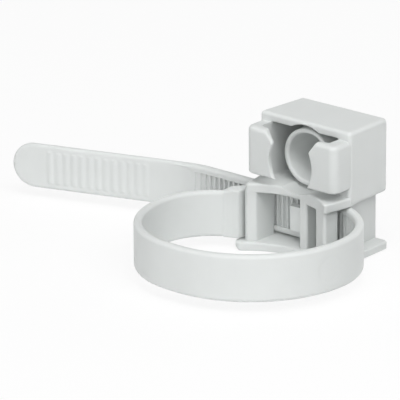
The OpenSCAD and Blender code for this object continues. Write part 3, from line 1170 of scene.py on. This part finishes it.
@dataclass(frozen=True)
class MouldedNylon:
    """Satin light grey nylon: a faintly cloudy colour, and the fine grain of a spark-eroded mould."""

    color: Point3 = (0.655, 0.675, 0.667)
    cloud: float = 0.03
    cloud_size: float = 6.0
    roughness: float = 0.58
    roughness_spread: float = 0.08
    grain_share: float = 0.6
    grain_size: float = 0.16
    grain_depth: float = 0.012
    grain_strength: float = 0.5
    specular: float = 0.32

    def material(self) -> bpy.types.Material:
        """Material of the moulding, on Object coordinates.

        Returns:
            The new material.
        """
        made = bpy.data.materials.new("moulded_nylon")
        graph = Graph(made)
        place = graph.node("ShaderNodeTexCoord", {}, {}, "Object")
        clouds = graph.node("ShaderNodeTexNoise", {}, {
            "Vector": place, "Scale": 1.0 / (self.cloud_size * MM), "Detail": 3.0, "Roughness": 0.55}, "Fac")
        grain = graph.node("ShaderNodeTexNoise", {}, {
            "Vector": place, "Scale": 1.0 / (self.grain_size * MM), "Detail": 2.0, "Roughness": 0.5}, "Fac")
        dark = tuple(c * (1.0 - self.cloud) for c in self.color) + (1.0,)
        light = tuple(min(1.0, c * (1.0 + self.cloud)) for c in self.color) + (1.0,)
        # A Mix node's colours are its inputs 6 and 7 and its output 2
        tint = graph.node("ShaderNodeMix", {"data_type": "RGBA"}, {0: clouds, 6: dark, 7: light}, 2)
        uneven = grain * self.grain_share + clouds * (1.0 - self.grain_share)
        roughness = self.roughness - 0.5 * self.roughness_spread + uneven * self.roughness_spread
        normal = graph.node("ShaderNodeBump", {}, {
            "Strength": self.grain_strength, "Distance": self.grain_depth * MM, "Height": grain}, "Normal")
        surface = graph.node("ShaderNodeBsdfPrincipled", {}, {
            "Base Color": tint, "Roughness": roughness, "Normal": normal,
            "Specular IOR Level": self.specular}, "BSDF")
        graph.node("ShaderNodeOutputMaterial", {}, {"Surface": surface})
        return made


@dataclass(frozen=True)
class StudioFloor:
    """Plain white paper under the object, which keeps a soft shadow."""

    color: Point3 = (0.9, 0.9, 0.9)
    white_share: float = 0.88
    half: float = 4000.0
    level: float = -18.0

    def build(self) -> Object:
        """Floor as a flat square.

        Returns:
            The floor.
        """
        half, level = self.half, self.level
        corners = np.array([[x * half, y * half, level] for x, y in ((-1, -1), (1, -1), (1, 1), (-1, 1))])
        mesh = bpy.data.meshes.new("floor")
        mesh.from_pydata((corners * MM).tolist(), [], [[0, 1, 2, 3]])
        made = placed("floor", mesh)
        mesh.materials.append(self.material())
        return made

    def material(self) -> bpy.types.Material:
        """White paper: a share of what the camera sees of it is plain white, and the rest is lit and shaded.

        Returns:
            The new material.
        """
        made = bpy.data.materials.new("paper")
        graph = Graph(made)
        paper = graph.node("ShaderNodeBsdfDiffuse", {}, {"Color": self.color + (1.0,)})
        white = graph.node("ShaderNodeEmission", {}, {"Color": WHITE, "Strength": 1.0})
        share = graph.seen() * self.white_share
        mixed = graph.node("ShaderNodeMixShader", {}, {0: share, 1: paper, 2: white})
        graph.node("ShaderNodeOutputMaterial", {}, {"Surface": mixed})
        return made


@dataclass(frozen=True)
class Softbox:
    """Square lamp that faces a point of the object."""

    name: str
    azimuth: float
    elevation: float
    power: float
    size: float = 450.0
    distance: float = 900.0
    aim: Point3 = (-8.0, -22.0, -8.0)

    def build(self) -> Object:
        """Lamp at its distance from the point, turned towards it.

        Azimuth 0 is straight in front of the wall, and grows towards the right.

        Returns:
            The lamp.
        """
        lamp = bpy.data.lights.new(self.name, "AREA")
        lamp.shape = "SQUARE"
        lamp.size = self.size * MM
        lamp.energy = self.power
        made = placed(self.name, lamp)
        a, e = math.radians(self.azimuth), math.radians(self.elevation)
        away = Vector((math.sin(a) * math.cos(e), -math.cos(a) * math.cos(e), math.sin(e)))
        made.location = (Vector(self.aim) + self.distance * away) * MM
        made.rotation_euler = away.to_track_quat("Z", "Y").to_euler()
        return made


@dataclass
class Studio:
    """Floor, lamps, white surroundings and the camera of the photograph."""

    floor: StudioFloor = field(default_factory=StudioFloor)
    lamps: tuple[Softbox, ...] = (
        Softbox("key", 40.4, 65.0, 2.9),
        Softbox("right", 80.4, 45.0, 3.1),
        Softbox("left", 0.4, 20.0, 2.3),
        Softbox("front", 40.4, 25.0, 1.45),
        Softbox("top", 40.4, 88.0, 1.05),
        Softbox("far_left", -34.6, 45.0, 0.45),
        Softbox("back", 174.0, 12.0, 2.1),
        Softbox("side", 268.0, 12.0, 1.1),
    )
    azimuth: float = 40.446
    elevation: float = 19.836
    roll: float = -0.516
    target: Point3 = (-10.8925, -27.3453, -5.8346)
    shift: Point2 = (0.05, 0.0743)
    distance: float = 700.0
    lens: float = 351.67
    sensor: float = 36.0
    far: float = 20000.0

    def camera(self) -> Object:
        """Camera at the photograph's angle, turned a little about its own axis.

        Returns:
            The camera.
        """
        a, e, r = (math.radians(v) for v in (self.azimuth, self.elevation, self.roll))
        right = Vector((math.cos(a), math.sin(a), 0.0))
        ahead = Vector((-math.sin(a) * math.cos(e), math.cos(a) * math.cos(e), -math.sin(e)))
        up = right.cross(ahead)
        target = Vector(self.target) + self.shift[0] * right + self.shift[1] * up
        lens = bpy.data.cameras.new("camera")
        lens.lens = self.lens
        lens.sensor_width = self.sensor
        lens.clip_end = self.far * MM
        made = placed("camera", lens)
        turn = Matrix((right, up, -ahead)).transposed() @ Matrix.Rotation(r, 3, "Z")
        made.matrix_world = Matrix.Translation((target - self.distance * ahead) * MM) @ turn.to_4x4()
        bpy.context.scene.camera = made
        return made

    def world(self) -> None:
        """Surroundings that are plain white to the camera and in reflections, and give no light."""
        made = bpy.data.worlds.new("surround")
        bpy.context.scene.world = made
        graph = Graph(made)
        white = graph.node("ShaderNodeBackground", {}, {"Color": WHITE, "Strength": 1.0})
        mixed = graph.node("ShaderNodeMixShader", {}, {0: graph.seen(), 2: white})
        graph.node("ShaderNodeOutputWorld", {}, {"Surface": mixed})

    def build(self) -> None:
        """Whole studio, with the plain view transform."""
        self.camera()
        self.world()
        self.floor.build()
        for lamp in self.lamps:
            lamp.build()
        bpy.context.scene.view_settings.view_transform = "Standard"


@dataclass
class CableTie:
    """The whole moulding: strap, saddle and mount in one skin, with one finish."""

    strap: Strap = field(default_factory=Strap)
    saddle: Saddle = field(default_factory=Saddle)
    mount: Mount = field(default_factory=Mount)
    finish: MouldedNylon = field(default_factory=MouldedNylon)
    smooth_under: float = 25.0

    def build(self) -> Object:
        """Joins the sub-assemblies, brings them to metres and shades them smooth between sharp edges.

        Returns:
            The finished piece.
        """
        whole = self.mount.build(self.saddle.plate())
        for solid in self.saddle.build() + [self.strap.build()]:
            name = solid.name
            whole = joined(whole, solid, Join.ADD)
            LOG.info("joined %s: %d faces so far", name, len(whole.data.polygons))
        whole.name = "moulding"
        mesh = whole.data
        mesh.name = "moulding"
        mesh.transform(Matrix.Scale(MM, 4))
        mesh.polygons.foreach_set("use_smooth", np.ones(len(mesh.polygons), bool))
        mesh.set_sharp_from_angle(angle=math.radians(self.smooth_under))
        mesh.update()
        return whole

    def dress(self, piece: Object) -> None:
        """Gives the piece its finish and its place in the frame.

        Args:
            piece: The finished moulding.
        """
        piece.data.materials.clear()
        piece.data.materials.append(self.finish.material())
        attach(piece, "root")
        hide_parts("mounting_collar")


def main() -> None:
    """Builds the object and its studio round the frame."""
    logging.basicConfig(level=logging.INFO, format="%(name)s: %(message)s")
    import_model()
    tie = CableTie()
    piece = tie.build()
    tie.dress(piece)
    LOG.info("piece %s: %d faces", piece.name, len(piece.data.polygons))
    Studio().build()


if __name__ == "__main__":
    main()
